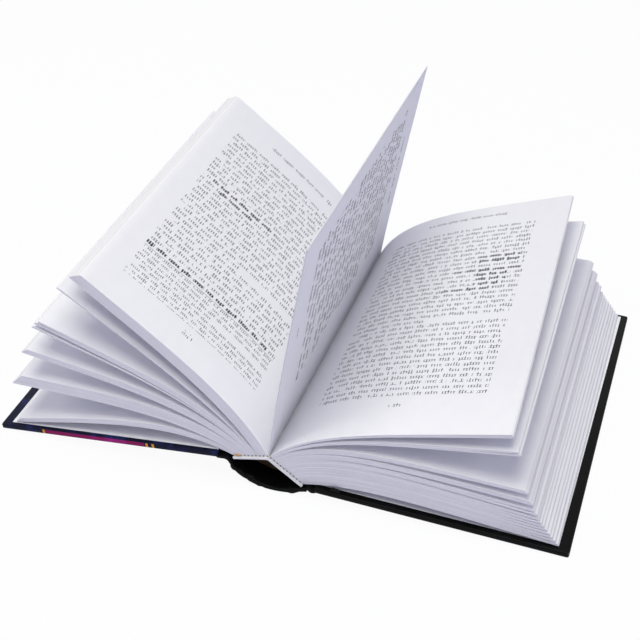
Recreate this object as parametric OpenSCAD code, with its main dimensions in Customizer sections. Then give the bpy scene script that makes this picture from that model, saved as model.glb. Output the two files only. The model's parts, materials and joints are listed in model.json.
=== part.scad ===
// A case-bound book lying open on its back, its leaves fanned and one pair of leaves standing upright.
// X runs across the open book, Y along the spine towards the head, Z up from the table.

/* [Leaves] */
// Width of a leaf from its fold to the fore edge
page_w = 153; // [120:1:190]
// Height of a leaf from tail to head
page_h = 229; // [160:1:300]
// Thickness of the pair of leaves that stands upright
standing_t = 0.5; // [0.3:0.1:2]
// Clear width of the gutter on each side of the standing leaves
gutter_w = 0.4; // [0.3:0.1:1]
// Straight steps that a bent leaf is drawn with
leaf_steps = 16; // [8:1:24]
// How strongly the bend of the left leaves gathers at the fold
front_bend = 3; // [2:0.5:5]
// How strongly the bend of the right leaves gathers at the fold
back_bend = 4; // [2:0.5:5]

/* [Open position] */
// Height of the gutter above the table
gutter_z = 24.3; // [22:0.1:30]
// Angle by which the spine droops under the left leaves
front_droop = 14; // [8:1:22]
// Angle by which the spine droops under the right leaves
back_droop = 38; // [30:1:45]
// Direction of the lowest left leaf at its fold
front_root_low = 158; // [150:1:165]
// Direction of the top left leaf at its fold
front_root_top = 115; // [105:1:125]
// Direction of the standing leaves at their fold
standing_root = 82; // [75:1:95]
// Direction of the standing leaves at the fore edge
standing_fore = 78.6; // [70:0.1:95]
// Direction of the top right leaf at its fold
back_root_top = 48; // [40:1:60]
// Direction of the lowest right leaf at its fold
back_root_low = 16; // [14:1:24]

/* [Case] */
// Thickness of a cover board
board_t = 3; // [2:0.1:4]
// Overhang of the boards past the leaves
square = 3; // [2:0.5:5]
// Width of the joint between a board and its hinge line
joint_w = 5.5; // [4:0.5:8]
// Thickness of the wrap in the joints
joint_t = 0.8; // [0.5:0.1:1.2]
// Thickness of the printed wrap
wrap_t = 0.35; // [0.2:0.05:0.6]
// Width of the wrap turned in over a board
turn_in = 15; // [10:1:20]
// Thickness of a pasted-down endpaper
endpaper_t = 0.25; // [0.15:0.05:0.4]
// Width of the wrap left bare along a cover's fore edge inside
bare_w = 7; // [3:0.5:10]
// Outer radius of the curved back of the case
spine_r = 37; // [34:1:45]
// Thickness of the stiffener in the curved back
inlay_t = 1.2; // [0.6:0.1:1.6]
// Distance from the stiffener's long edges to the ends of the curved back
inlay_inset = 2; // [1:0.5:4]
// Distance of the left hinge line outside the end of the folded spine
front_out_w = 4; // [3:0.5:6]
// Distance of the right hinge line outside the end of the folded spine
back_out_w = 2.5; // [2:0.5:6]
// Depth of the left hinge line below the end of the folded spine
front_drop = 1; // [0.5:0.5:3]
// Depth of the right hinge line below the end of the folded spine
back_drop = 2; // [1.5:0.5:3]

/* [Spine lining] */
// Thickness of the glued folds behind the leaves
glue_t = 1.2; // [0.8:0.1:1.6]
// Thickness of the mull cloth glued over the folds
mull_t = 0.4; // [0.2:0.1:0.6]
// Thickness of the kraft lining and of the bands' tapes
lining_t = 0.4; // [0.2:0.1:0.6]
// Depth of a band's bead
band_t = 2.2; // [2:0.1:3]
// How far a band stands out past the leaves
band_out = 1.6; // [1:0.1:2]
// Length of a band's tape on the spine
band_tape = 10; // [6:1:16]

/* [Clearances] */
// Gap between a cover and the leaf that lies on it
rest_gap = 0.4; // [0.3:0.1:0.8]
// Gap beside each hinge line
hinge_gap = 0.3; // [0.2:0.1:0.4]

/* [Hidden] */
$fn = 96;
cut = 1;

// Each clump of leaves: thickness at the fold, directions of its first and last leaf at the fore edge,
// and how far its folds turn further at the head. The order runs from the front cover round to the back.
// The outermost leaf on each side lies on its cover, so its direction is settled there.
front_clumps = [
    [3.6, 194, 194.6, 0],
    [5.7, 180.3, 180.6, 0],
    [3.3, 170.8, 171.5, 0],
    [0.6, 161.9, 161.9, 0],
    [2.4, 160.6, 161, 0],
    [0.6, 145.1, 145.1, 0],
    [6.2, 141.6, 141.8, -3]];
standing_clump = [standing_t, standing_fore, standing_fore, -1.5];
back_clumps = [
    [1.0, 15, 14.5, 14],
    [1.5, 10, 9.5, 9],
    [2.8, -2, -3, 5],
    [3.0, -3.6, -4.4, 4],
    [3.0, -5, -5.4, 2],
    [14.8, -5.6, -6, 0]];
clumps = concat(front_clumps, [standing_clump], back_clumps);
front_n = len(front_clumps);
last = len(clumps) - 1;
// Share of the head's extra turn that reaches the fore edge
fore_share = 0.25;
// Stations along the spine at which the leaves are drawn, from tail 0 to head 1
stations = [0, 0.5, 1];

function along(a) = [cos(a), sin(a)];
function mix(a, b, t) = a + (b - a) * t;
function thickness(n) = n == 0 ? 0 : clumps[n - 1][0] + thickness(n - 1);

// Place of a clump's first leaf along the folded spine, counted from the front
function fold_at(i) = thickness(i) + (i >= front_n ? gutter_w : 0) + (i > front_n ? gutter_w : 0);
front_half = fold_at(front_n) + standing_t / 2;
spine_len = thickness(len(clumps)) + 2 * gutter_w;
back_half = spine_len - front_half;
front_dir = along(180 + front_droop);
back_dir = along(-back_droop);

// Case: reach of a cover from its hinge line, and the covers' slopes down to the table
cover_h = page_h + 2 * square;
reach = page_w + square;
cover_w = reach - joint_w;
board_w = cover_w - wrap_t;
board_h = cover_h - 2 * wrap_t;
top_v = board_t + 2 * wrap_t;
face_v = top_v + endpaper_t;
front_hinge_z = gutter_z + front_half * front_dir[1] - front_drop;
back_hinge_z = gutter_z + back_half * back_dir[1] - back_drop;
front_slope = asin(front_hinge_z / reach);
back_slope = asin(back_hinge_z / reach);
front_span = -front_half * front_dir[0] + front_out_w + reach * cos(front_slope) + top_v * sin(front_slope);
back_span = back_half * back_dir[0] + back_out_w + reach * cos(back_slope) + top_v * sin(back_slope);

// The open book is centred across X
gutter = [(front_span - back_span) / 2, gutter_z];
front_end = gutter + front_half * front_dir;
back_end = gutter + back_half * back_dir;
front_hinge = front_end + [-front_out_w, -front_drop];
back_hinge = back_end + [back_out_w, -back_drop];
front_normal = along(90 + front_slope);
back_normal = along(90 - back_slope);

// Folded spine, moved outwards from the folds by d: front end, gutter, back end
front_out = along(front_droop - 90);
back_out = along(-back_droop - 90);
function spine_line(d) = [front_end + d * front_out,
    gutter + d * (front_out + back_out) / (1 + front_out * back_out), back_end + d * back_out];
function fold_point(t) = t < front_half
    ? gutter + (front_half - t) * front_dir : gutter + (t - front_half) * back_dir;

// Direction of the leaf at place t at its fold
front_top_t = fold_at(front_n) - gutter_w;
back_top_t = fold_at(front_n + 1);
function root_angle(t) =
    t <= front_top_t ? mix(front_root_low, front_root_top, t / front_top_t)
    : t < back_top_t ? standing_root
    : mix(back_root_top, back_root_low, (t - back_top_t) / (spine_len - back_top_t));
function bend_of(t) = t < front_half ? front_bend : back_bend;

// A bent leaf of full width: its direction eases from the fold to the fore edge
function leaf_angle(i, root, fore, bend) = mix(fore, root, pow(1 - (i + 0.5) / leaf_steps, bend));
function leaf(t, root, fore) = [
    for (i = 0, p = fold_point(t); i <= leaf_steps;
        p = p + page_w / leaf_steps * along(leaf_angle(i, root, fore, bend_of(t))), i = i + 1) p];

// Direction at which an outermost leaf comes to lie on its cover, found in a few corrections
function lift_over(t, fore, hinge, normal) =
    (leaf(t, root_angle(t), fore)[leaf_steps] - hinge) * normal - face_v - rest_gap;
function settled(t, fore, hinge, normal, side, n = 4) = n == 0 ? fore
    : settled(t, fore + side * lift_over(t, fore, hinge, normal) / page_w
        * (1 + 1 / bend_of(t)) * 180 / PI, hinge, normal, side, n - 1);
front_rest = settled(0, front_clumps[0][1], front_hinge, front_normal, 1);
back_rest = settled(spine_len, clumps[last][2], back_hinge, back_normal, -1);

// The first (side 0) and last (side 1) leaf of clump i at station h
function fore_angle(i, side) = i == 0 && side == 0 ? front_rest
    : i == last && side == 1 ? back_rest : clumps[i][1 + side];
function clump_leaf(i, side, h) =
    let (t = fold_at(i) + side * clumps[i][0], turn = h * clumps[i][3])
    leaf(t, root_angle(t) + turn, fore_angle(i, side) + fore_share * turn);

// Outline of clump i at station h: out along its first leaf, back along its last and home along the folds
function outline(i, h) = let (l = clump_leaf(i, 1, h))
    concat(clump_leaf(i, 0, h), [for (k = [leaf_steps : -1 : 0]) l[k]], i == front_n ? [gutter] : []);

// The leaves of clump i that are bent alike from tail to head
module even_clump(i)
{
    color("#ecebf2") along_spine(-page_h / 2, page_h / 2) polygon(outline(i, 0));
}

// Faces that close a clump's end: strips from its first to its last leaf, and the gutter's corner if it has one
function end_faces(n) = let (q = leaf_steps + 1) concat(
    [for (k = [0 : q - 2]) [k, k + 1, 2 * q - 2 - k, 2 * q - 1 - k]], n > 2 * q ? [[2 * q - 1, 2 * q, 0]] : []);

// The leaves of clump i that turn further towards the head, drawn from station to station
module turned_clump(i)
{
    rings = [for (h = stations) [for (p = outline(i, h)) [p[0], (h - 0.5) * page_h, p[1]]]];
    n = len(rings[0]);
    m = len(stations) - 1;
    sides = [for (s = [0 : m - 1], k = [0 : n - 1])
        let (a = s * n + k, b = s * n + (k + 1) % n)
        each [[a, b, a + n], [b, b + n, a + n]]];
    caps = [for (f = end_faces(n))
        each [[for (k = [len(f) - 1 : -1 : 0]) f[k]], [for (k = f) k + m * n]]];
    color("#ecebf2") polyhedron([for (r = rings) each r], concat(sides, caps));
}

module front_leaves_1()
{
    even_clump(0);
}

module front_leaves_2()
{
    even_clump(1);
}

module front_leaves_3()
{
    even_clump(2);
}

module front_leaves_4()
{
    even_clump(3);
}

module front_leaves_5()
{
    even_clump(4);
}

module front_leaves_6()
{
    even_clump(5);
}

module front_leaves_7()
{
    turned_clump(6);
}

module standing_leaves()
{
    turned_clump(front_n);
}

module back_leaves_1()
{
    turned_clump(front_n + 1);
}

module back_leaves_2()
{
    turned_clump(front_n + 2);
}

module back_leaves_3()
{
    turned_clump(front_n + 3);
}

module back_leaves_4()
{
    turned_clump(front_n + 4);
}

module back_leaves_5()
{
    turned_clump(front_n + 5);
}

module back_leaves_6()
{
    even_clump(front_n + 6);
}

// Extrudes an outline drawn across the book, from y0 to y1 along the spine
module along_spine(y0, y1)
{
    translate([0, y1, 0]) rotate([90, 0, 0]) linear_extrude(y1 - y0) children();
}

// A strip that follows the folded spine between two depths behind the folds
module spine_strip(d0, d1)
{
    inner = spine_line(d0);
    outer = spine_line(d1);
    polygon(concat(inner, [outer[2], outer[1], outer[0]]));
}

back_t = glue_t + mull_t;
lining_end = page_h / 2 - band_tape;

// The folds of all leaves, glued into one backbone
module glued_folds()
{
    color("#dcd6c4") along_spine(-page_h / 2, page_h / 2) spine_strip(0, glue_t);
}

module spine_mull()
{
    color("#e6dfcb") along_spine(-page_h / 2, page_h / 2) spine_strip(glue_t, back_t);
}

module spine_lining()
{
    color("#a88d68") along_spine(-lining_end, lining_end) spine_strip(back_t, back_t + lining_t);
}

// A beaded band at the end of the spine: the bead stands past the leaves, its tape is glued to the mull
module end_band()
{
    along_spine(page_h / 2, page_h / 2 + band_out) spine_strip(0, band_t);
    along_spine(lining_end, page_h / 2) spine_strip(back_t, back_t + lining_t);
}

module headband()
{
    color("#f4f4f6") end_band();
}

module tailband()
{
    color("#f4f4f6") mirror([0, 1, 0]) end_band();
}

// Curved back of the case: its lowest line touches the table and its right end is at the right hinge line
arc_right = acos(1 - back_hinge[1] / spine_r);
arc_left = arc_right - spine_len / spine_r * 180 / PI;
arc_centre = [back_hinge[0] - spine_r * sin(arc_right), spine_r];
function arc_point(r, a) = arc_centre + r * along(a - 90);
gap_angle = hinge_gap / spine_r * 180 / PI;
inset_angle = inlay_inset / spine_r * 180 / PI;

// A curved sheet between two radii and two angles from straight down
module curved_sheet(r0, r1, a0, a1)
{
    far = 2 * spine_r;
    intersection() {
        translate(arc_centre) difference() {
            circle(r1);
            circle(r0);
        }
        polygon([arc_centre, arc_point(far, a0), arc_point(far, (a0 + a1) / 2), arc_point(far, a1)]);
    }
}

// The joint strip from the curved back up to the left hinge line
module front_joint()
{
    foot_angle = arc_left + gap_angle;
    foot = arc_point(spine_r, foot_angle);
    run = front_hinge - foot;
    tip = front_hinge - hinge_gap * run / norm(run);
    inward = [run[1], -run[0]] / norm(run);
    polygon([foot, tip, tip + joint_t * inward, arc_point(spine_r - joint_t, foot_angle)]);
}

inlay_end = cover_h / 2 - wrap_t;
fold_r = spine_r - wrap_t - inlay_t;

module spine_inlay()
{
    color("#8c7a62") along_spine(-inlay_end, inlay_end)
        curved_sheet(fold_r, spine_r - wrap_t, arc_left + inset_angle, arc_right - inset_angle);
}

// The wrap over the curved back, turned in over the stiffener at head and tail
module spine_wrap()
{
    color("#17181b") {
        along_spine(-cover_h / 2, cover_h / 2) {
            curved_sheet(spine_r - wrap_t, spine_r, arc_left, arc_right - gap_angle);
            front_joint();
        }
        for (end = [0, 1]) mirror([0, end, 0]) {
            along_spine(inlay_end, cover_h / 2)
                curved_sheet(fold_r - wrap_t, spine_r - wrap_t, arc_left + inset_angle, arc_right - inset_angle);
            along_spine(cover_h / 2 - turn_in, inlay_end)
                curved_sheet(fold_r - wrap_t, fold_r, arc_left + inset_angle, arc_right - inset_angle);
        }
    }
}

// Covers are drawn flat, from the hinge line out along X to the fore edge with the outer face at Z 0
module in_front_cover()
{
    translate([front_hinge[0], 0, front_hinge[1]]) mirror([1, 0, 0]) rotate([0, front_slope, 0]) children();
}

module in_back_cover()
{
    translate([back_hinge[0], 0, back_hinge[1]]) rotate([0, back_slope, 0]) children();
}

// A block centred along the spine, from u0 out to u1 and from v0 up to v1
module slab(u0, u1, h, v0, v1)
{
    translate([u0, -h / 2, v0]) cube([u1 - u0, h, v1 - v0]);
}

module cover_board()
{
    slab(joint_w, joint_w + board_w, board_h, wrap_t, wrap_t + board_t);
}

module cover_wrap()
{
    slab(hinge_gap, joint_w, cover_h, 0, joint_t);
    difference() {
        slab(joint_w, reach, cover_h, 0, top_v);
        slab(joint_w - cut, joint_w + board_w, board_h, wrap_t, wrap_t + board_t);
        slab(joint_w - cut, reach - turn_in, cover_h - 2 * turn_in, wrap_t + board_t - cut, top_v + cut);
    }
}

// The endpaper covers the turn-ins and fills the face between them
module cover_pastedown()
{
    slab(joint_w, reach - bare_w, page_h, top_v, face_v);
    slab(joint_w, reach - turn_in, cover_h - 2 * turn_in, board_t + wrap_t, top_v);
}

module front_board()
{
    color("#8f8b84") in_front_cover() cover_board();
}

module front_wrap()
{
    color("#1b1f3a") in_front_cover() cover_wrap();
}

module front_pastedown()
{
    color("#e9e9ef") in_front_cover() cover_pastedown();
}

module back_board()
{
    color("#8f8b84") in_back_cover() cover_board();
}

module back_wrap()
{
    color("#17181b") in_back_cover() cover_wrap();
}

module back_pastedown()
{
    color("#e9e9ef") in_back_cover() cover_pastedown();
}

front_leaves_1();
front_leaves_2();
front_leaves_3();
front_leaves_4();
front_leaves_5();
front_leaves_6();
front_leaves_7();
standing_leaves();
back_leaves_1();
back_leaves_2();
back_leaves_3();
back_leaves_4();
back_leaves_5();
back_leaves_6();
glued_folds();
spine_mull();
spine_lining();
tailband();
headband();
spine_inlay();
spine_wrap();
front_board();
front_wrap();
front_pastedown();
back_board();
back_wrap();
back_pastedown();
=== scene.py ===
"""A case-bound book that lies open on its back, its leaves fanned and one pair of leaves upright.
Lengths are in millimetres until a mesh is made. X runs across the open book, Y from tail to head, Z up."""

import json
import math
import random

import bmesh
import bpy
from mathutils import Matrix, Vector, noise


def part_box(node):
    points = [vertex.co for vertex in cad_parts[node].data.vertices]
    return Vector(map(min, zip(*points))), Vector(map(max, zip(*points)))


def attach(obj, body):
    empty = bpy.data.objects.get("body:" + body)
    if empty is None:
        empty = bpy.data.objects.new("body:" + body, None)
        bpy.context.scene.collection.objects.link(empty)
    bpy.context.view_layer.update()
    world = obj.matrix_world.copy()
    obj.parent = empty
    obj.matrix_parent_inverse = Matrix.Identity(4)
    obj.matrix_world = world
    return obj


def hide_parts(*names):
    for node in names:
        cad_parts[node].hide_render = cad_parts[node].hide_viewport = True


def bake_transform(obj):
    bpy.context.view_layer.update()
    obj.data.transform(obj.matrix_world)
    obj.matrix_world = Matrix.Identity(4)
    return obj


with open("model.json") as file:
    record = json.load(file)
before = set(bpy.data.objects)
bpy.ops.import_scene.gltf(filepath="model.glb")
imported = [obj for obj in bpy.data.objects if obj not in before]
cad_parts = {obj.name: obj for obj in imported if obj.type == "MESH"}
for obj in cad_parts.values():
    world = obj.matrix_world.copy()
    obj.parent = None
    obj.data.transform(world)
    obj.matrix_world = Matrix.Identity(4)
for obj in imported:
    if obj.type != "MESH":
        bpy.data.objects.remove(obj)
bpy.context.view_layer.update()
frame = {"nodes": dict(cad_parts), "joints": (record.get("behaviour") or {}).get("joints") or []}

# Leaves
# A sewn block of uncoated book paper, printed in black on both sides and trimmed square at head, tail and
# fore edge. Each leaf bends at its fold and then runs nearly straight, and the leaves part in clumps.
MM = 0.001
page_w = 153
leaf_low, leaf_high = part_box("standing_leaves")
page_h = (leaf_high.y - leaf_low.y) / MM
standing_t, gutter_w, glue_t = 0.5, 0.4, 1.2
front_droop, back_droop = 14, 38
front_root_low, front_root_top = 158, 115
standing_root, standing_fore = 82, 78.6
back_root_top, back_root_low = 48, 16
front_bend, back_bend = 3, 4
fore_share = 0.25
hinge_out, front_drop = 4, 1

# Each clump: thickness at the fold, directions of its first and last leaf at the fore edge, how far its folds
# turn further at the head, the gatherings that part in it, and how far its first leaf is drawn to its last.
# The order runs from front cover to back.
front_clumps = [
    (3.6, 194, 194.6, 0, 1, 0),
    (5.7, 180.3, 180.6, 0, 1, 0),
    (3.3, 170.8, 171.5, 0, 1, 0),
    (0.6, 161.9, 161.9, 0, 1, 0),
    (2.4, 160.6, 161, 0, 2, 0),
    (0.6, 145.1, 145.1, 0, 1, 0),
    (6.2, 141.6, 141.8, -3, 1, 0.65)]
back_clumps = [
    (1.0, 15, 14.5, 17.5, 1, 0),
    (1.5, 10, 9.5, 9, 2, 0),
    (2.8, -2, -1.5, 5, 1, 0),
    (3.0, -3.6, -3.4, 4, 1, 0),
    (3.0, -4.9, -5.0, 2, 2, 0),
    (14.8, -5.6, -5.5, 0, 8, 0)]
clumps = [*front_clumps, (standing_t, standing_fore, standing_fore, -1.5, 1, 0), *back_clumps]
front_count = len(front_clumps)
clump_nodes = [f"front_leaves_{k + 1}" for k in range(front_count)]
clump_nodes += ["standing_leaves", *[f"back_leaves_{k + 1}" for k in range(len(back_clumps))]]


def fold_at(i):
    """Place of a clump's first leaf along the folded spine, counted from the front."""
    gutters = (i >= front_count) + (i > front_count)
    return sum(clump[0] for clump in clumps[:i]) + gutters * gutter_w


def along(degrees):
    return Vector((math.cos(math.radians(degrees)), math.sin(math.radians(degrees))))


def mix(a, b, t):
    return a + (b - a) * t


joints = {joint["name"]: Vector(joint["pos_m"]) / MM for joint in frame["joints"]}
front_hinge = joints["front_cover_hinge"].xz
back_hinge = joints["back_cover_hinge"].xz
front_half = fold_at(front_count) + standing_t / 2
spine_len = fold_at(len(clumps))
back_half = spine_len - front_half
front_dir, back_dir = along(180 + front_droop), along(-back_droop)
front_end = front_hinge + Vector((hinge_out, front_drop))
gutter = front_end - front_half * front_dir
back_end = gutter + back_half * back_dir
front_top, back_top = fold_at(front_count) - gutter_w, fold_at(front_count + 1)


def fold_point(t):
    return gutter + ((front_half - t) * front_dir if t < front_half else (t - front_half) * back_dir)


def root_angle(t):
    """Direction of the leaf at place t where it leaves its fold."""
    if t <= front_top:
        return mix(front_root_low, front_root_top, t / front_top)
    if t < back_top:
        return standing_root
    return mix(back_root_top, back_root_low, (t - back_top) / (spine_len - back_top))


leaf_steps, leaf_stations = 30, 8


def leaf_curve(clump, side, station):
    """Points of a clump's first or last leaf across the book, at a station from tail 0 to head 1."""
    thickness, *fore, turn, _, drawn_in = clumps[clump]
    t = fold_at(clump) + side * thickness
    bend = front_bend if t < front_half else back_bend
    root = mix(root_angle(t), root_angle(fold_at(clump) + thickness), drawn_in) + station * turn
    tip = fore[side] + fore_share * station * turn
    points = [fold_point(t)]
    for step in range(leaf_steps):
        ease = (1 - (step + 0.5) / leaf_steps) ** bend
        points.append(points[-1] + page_w / leaf_steps * along(mix(tip, root, ease)))
    return points


def linear(colour):
    """A colour given as sRGB hex, as linear RGBA."""
    parts = [int(colour[i:i + 2], 16) / 255 for i in (1, 3, 5)]
    return (*[c / 12.92 if c <= 0.04045 else ((c + 0.055) / 1.055) ** 2.4 for c in parts], 1)


def add(tree, kind, inputs=(), **settings):
    """Adds a node of that kind with its settings; a kind in capitals is an operation of the maths node.
    Inputs are values, nodes or sockets, by place or name."""
    if kind.isupper():
        settings["operation"], kind = kind, "ShaderNodeMath"
    node = tree.nodes.new(kind)
    for name, value in settings.items():
        setattr(node, name, value)
    for key, value in inputs.items() if isinstance(inputs, dict) else enumerate(inputs):
        if isinstance(value, bpy.types.Node):
            value = value.outputs[0]
        if isinstance(value, bpy.types.NodeSocket):
            tree.links.new(value, node.inputs[key])
        else:
            node.inputs[key].default_value = value
    return node


def new_material(name):
    material = bpy.data.materials.new(name)
    material.use_nodes = True
    material.node_tree.nodes.clear()
    return material, material.node_tree


def shaded(material, inputs):
    """The material, closed with a principled surface of these inputs."""
    tree = material.node_tree
    add(tree, "ShaderNodeOutputMaterial", [add(tree, "ShaderNodeBsdfPrincipled", inputs)])
    return material


def grain(tree, size, detail):
    """Noise of about that size in millimetres, or of one size for each axis."""
    sizes = size if isinstance(size, tuple) else (size, size, size)
    where = add(tree, "ShaderNodeMapping", {
        "Vector": add(tree, "ShaderNodeTexCoord").outputs["Object"], "Scale": [1 / (s * MM) for s in sizes]})
    return add(tree, "ShaderNodeTexNoise", {"Vector": where, "Scale": 1, "Detail": detail}).outputs["Fac"]


def toned(material, pattern, tones, surface, relief=None, height=None):
    """The material, closed with a colour that a pattern moves between two tones and with other inputs.
    Relief is the strength and depth of bumps, by the pattern or by a height of their own."""
    tree = material.node_tree
    dark, light = [linear(tone) for tone in tones]
    colour = add(tree, "ShaderNodeMix", {0: pattern, 6: dark, 7: light}, data_type="RGBA")
    inputs = {"Base Color": colour.outputs[2], **surface}
    if relief:
        strength, depth = relief
        inputs["Normal"] = add(tree, "ShaderNodeBump", {
            "Strength": strength, "Distance": depth * MM, "Height": pattern if height is None else height})
    return shaded(material, inputs)


text_w, text_h = 106, 172.9
line_pitch = 4.94
recto_margin, verso_margin = 26, 137
recto_top, verso_top = 205.5, 198.1
left_page, standing_page, right_page = 2 * front_count, 2 * front_count + 2, 2 * front_count + 3
note_top = 143.5
rule_drop, rule_half = 0.4, 0.12
note_scale, standing_scale = 1.25, 0.69
indent, longest_cut = 5, 60
rows_per_page, row_spread = 61, 997
word_w, word_gap, stroke_pitch, stroke_w = 9.5, 1.0, 1.7, 0.48
x_top, base_y, ascend, descend, bar_h = 1.7, 3.65, 0.9, 0.75, 0.13
bold_stem, bold_bar, standing_stem = 0.17, 0.14, 0.06
# Fine edge lines, their run along the edge, and the pitch of the lines of painted shade where leaves part
edge_line, edge_run, parting_shade_pitch = 0.33, 60, 0.8

# Random draws between 0 and 1 above which a line ends early, a stroke is tall or deep, a stroke is drawn at
# all, and a bar joins it to the next.
end_from, tall_from, deep_from, drawn_from, bar_from = 0.9, 0.74, 0.9, 0.06, 0.55

# Head line and folio: line, middle and half length. Bold passages of the two open pages: line, half the
# number of lines, middle and half length.
head_line, folio = (-2.5, 55, 29), (36.5, 53, 3.6)
left_bold = [(11, 0.5, 35, 27), (12, 0.5, 31, 15), (28, 0.5, 50, 50)]
right_bold = [(7.5, 0.6, 88, 14), (10, 0.5, 84, 24), (12, 1.2, 86, 10), (14, 0.5, 73, 17)]


def printed_paper():
    """Uncoated wood-free book paper, offset printed: matt, cool white, faintly mottled by its fibres.
    The print is made of word-long groups of plain strokes, with a head line, a folio and a smaller note."""
    material, tree = new_material("uncoated_book_paper_printed")
    place = add(tree, "ShaderNodeSeparateXYZ", [add(tree, "ShaderNodeUVMap", uv_map="page")])
    x, y = place.outputs[0], place.outputs[1]
    seed = add(tree, "ShaderNodeAttribute", attribute_name="print_seed").outputs["Fac"]
    on_left, on_standing, on_right = [add(tree, "COMPARE", [seed, page, 0.5])
                                      for page in (left_page, standing_page, right_page)]

    # The left page ends in a note of smaller type under a thin rule; the upright page has larger type
    below = add(tree, "SUBTRACT", [y, note_top])
    note = add(tree, "MULTIPLY", [on_left, add(tree, "GREATER_THAN", [below, 0])])
    shrink = add(tree, "MULTIPLY", [note, note_scale - 1])
    shrink = add(tree, "MULTIPLY_ADD", [on_standing, standing_scale - 1, shrink])
    set_y = add(tree, "MULTIPLY_ADD", [shrink, below, y])
    set_x = add(tree, "MULTIPLY_ADD", [shrink, x, x])
    line = add(tree, "FLOOR", [add(tree, "DIVIDE", [set_y, line_pitch])])
    depth = add(tree, "FLOORED_MODULO", [set_y, line_pitch])
    row = add(tree, "MULTIPLY_ADD", [seed, rows_per_page, line])

    # A paragraph's last line ends early, and the line after it is indented
    lucks = [add(tree, "ShaderNodeTexWhiteNoise", {"W": add(tree, "SUBTRACT", [row, back])},
                 noise_dimensions="1D").outputs["Value"] for back in (0, 1)]
    ends_here, ended_before = [add(tree, "GREATER_THAN", [luck, end_from]) for luck in lucks]
    jump = add(tree, "MULTIPLY", [lucks[0], row_spread])
    spare = add(tree, "FLOORED_MODULO", [jump, longest_cut])
    right = add(tree, "SUBTRACT", [text_w, add(tree, "MULTIPLY", [ends_here, spare])])
    left = add(tree, "MULTIPLY", [ended_before, indent])
    body = add(tree, "MULTIPLY", [add(tree, "GREATER_THAN", [x, left]), add(tree, "LESS_THAN", [x, right])])
    body = add(tree, "MULTIPLY", [body, add(tree, "COMPARE", [y, text_h / 2, text_h / 2])])
    for number, middle, half in (head_line, folio):
        this_line = add(tree, "COMPARE", [y, number * line_pitch, line_pitch / 2])
        whole = add(tree, "MULTIPLY", [this_line, add(tree, "COMPARE", [x, middle, half])])
        body = add(tree, "ADD", [body, whole])

    # Words part at the edges of uneven cells along the row, but the folio, the last one above, stays whole.
    # Some passages are set in bold.
    run = add(tree, "MULTIPLY_ADD", [set_x, 1 / word_w, jump])
    edge = add(tree, "ShaderNodeTexVoronoi", {"W": run, "Scale": 1, "Randomness": 0.7},
               voronoi_dimensions="1D", feature="DISTANCE_TO_EDGE")
    word = add(tree, "GREATER_THAN", [edge, word_gap / word_w])
    word = add(tree, "MAXIMUM", [word, whole])
    bold = 0
    for page, passages in ((on_left, left_bold), (on_right, right_bold)):
        for number, lines, middle, half in passages:
            in_line = add(tree, "COMPARE", [line, number, lines])
            passage = add(tree, "MULTIPLY", [in_line, add(tree, "COMPARE", [x, middle, half])])
            bold = add(tree, "MAXIMUM", [bold, add(tree, "MULTIPLY", [passage, page])])

    # Each word is a row of upright strokes, some taller or deeper, some joined by short bars above and below
    count = add(tree, "MULTIPLY_ADD", [set_x, 1 / stroke_pitch, jump])
    stroke_no = add(tree, "FLOOR", [count])
    off_centre = add(tree, "ABSOLUTE", [add(tree, "SUBTRACT", [add(tree, "FRACT", [count]), 0.5])])
    chance = add(tree, "ShaderNodeTexWhiteNoise",
                 {"Vector": add(tree, "ShaderNodeCombineXYZ", [stroke_no, row])}, noise_dimensions="2D")
    chance = add(tree, "ShaderNodeSeparateColor", [chance.outputs["Color"]])
    half_w = add(tree, "MULTIPLY_ADD", [bold, bold_stem, stroke_w / stroke_pitch / 2])
    half_w = add(tree, "MULTIPLY_ADD", [on_standing, standing_stem, half_w])
    tall = add(tree, "GREATER_THAN", [chance.outputs[0], tall_from])
    deep = add(tree, "GREATER_THAN", [chance.outputs[1], deep_from])
    top = add(tree, "MULTIPLY_ADD", [tall, -ascend, x_top])
    foot = add(tree, "MULTIPLY_ADD", [deep, descend, base_y])
    drawn = add(tree, "GREATER_THAN", [add(tree, "ADD", [chance.outputs[2], bold]), drawn_from])
    ink = add(tree, "LESS_THAN", [off_centre, half_w])
    for limit in (add(tree, "GREATER_THAN", [depth, top]), add(tree, "LESS_THAN", [depth, foot]), drawn):
        ink = add(tree, "MULTIPLY", [ink, limit])
    bar_half = add(tree, "MULTIPLY_ADD", [bold, bold_bar, bar_h])
    for bar_y, luck in ((x_top + bar_h, chance.outputs[2]), (base_y - bar_h, chance.outputs[1])):
        joined = add(tree, "GREATER_THAN", [luck, bar_from])
        ink = add(tree, "MULTIPLY_ADD", [joined, add(tree, "COMPARE", [depth, bar_y, bar_half]), ink])
    ink = add(tree, "MINIMUM", [ink, 1])
    for mask in (word, body):
        ink = add(tree, "MULTIPLY", [ink, mask])
    rule = add(tree, "COMPARE", [below, rule_drop, rule_half])
    for mask in (on_left, add(tree, "COMPARE", [x, text_w / 2, text_w / 2])):
        rule = add(tree, "MULTIPLY", [rule, mask])
    ink = add(tree, "MAXIMUM", [ink, rule])
    ink = add(tree, "MULTIPLY", [ink, add(tree, "GREATER_THAN", [seed, 0.5])])

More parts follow.
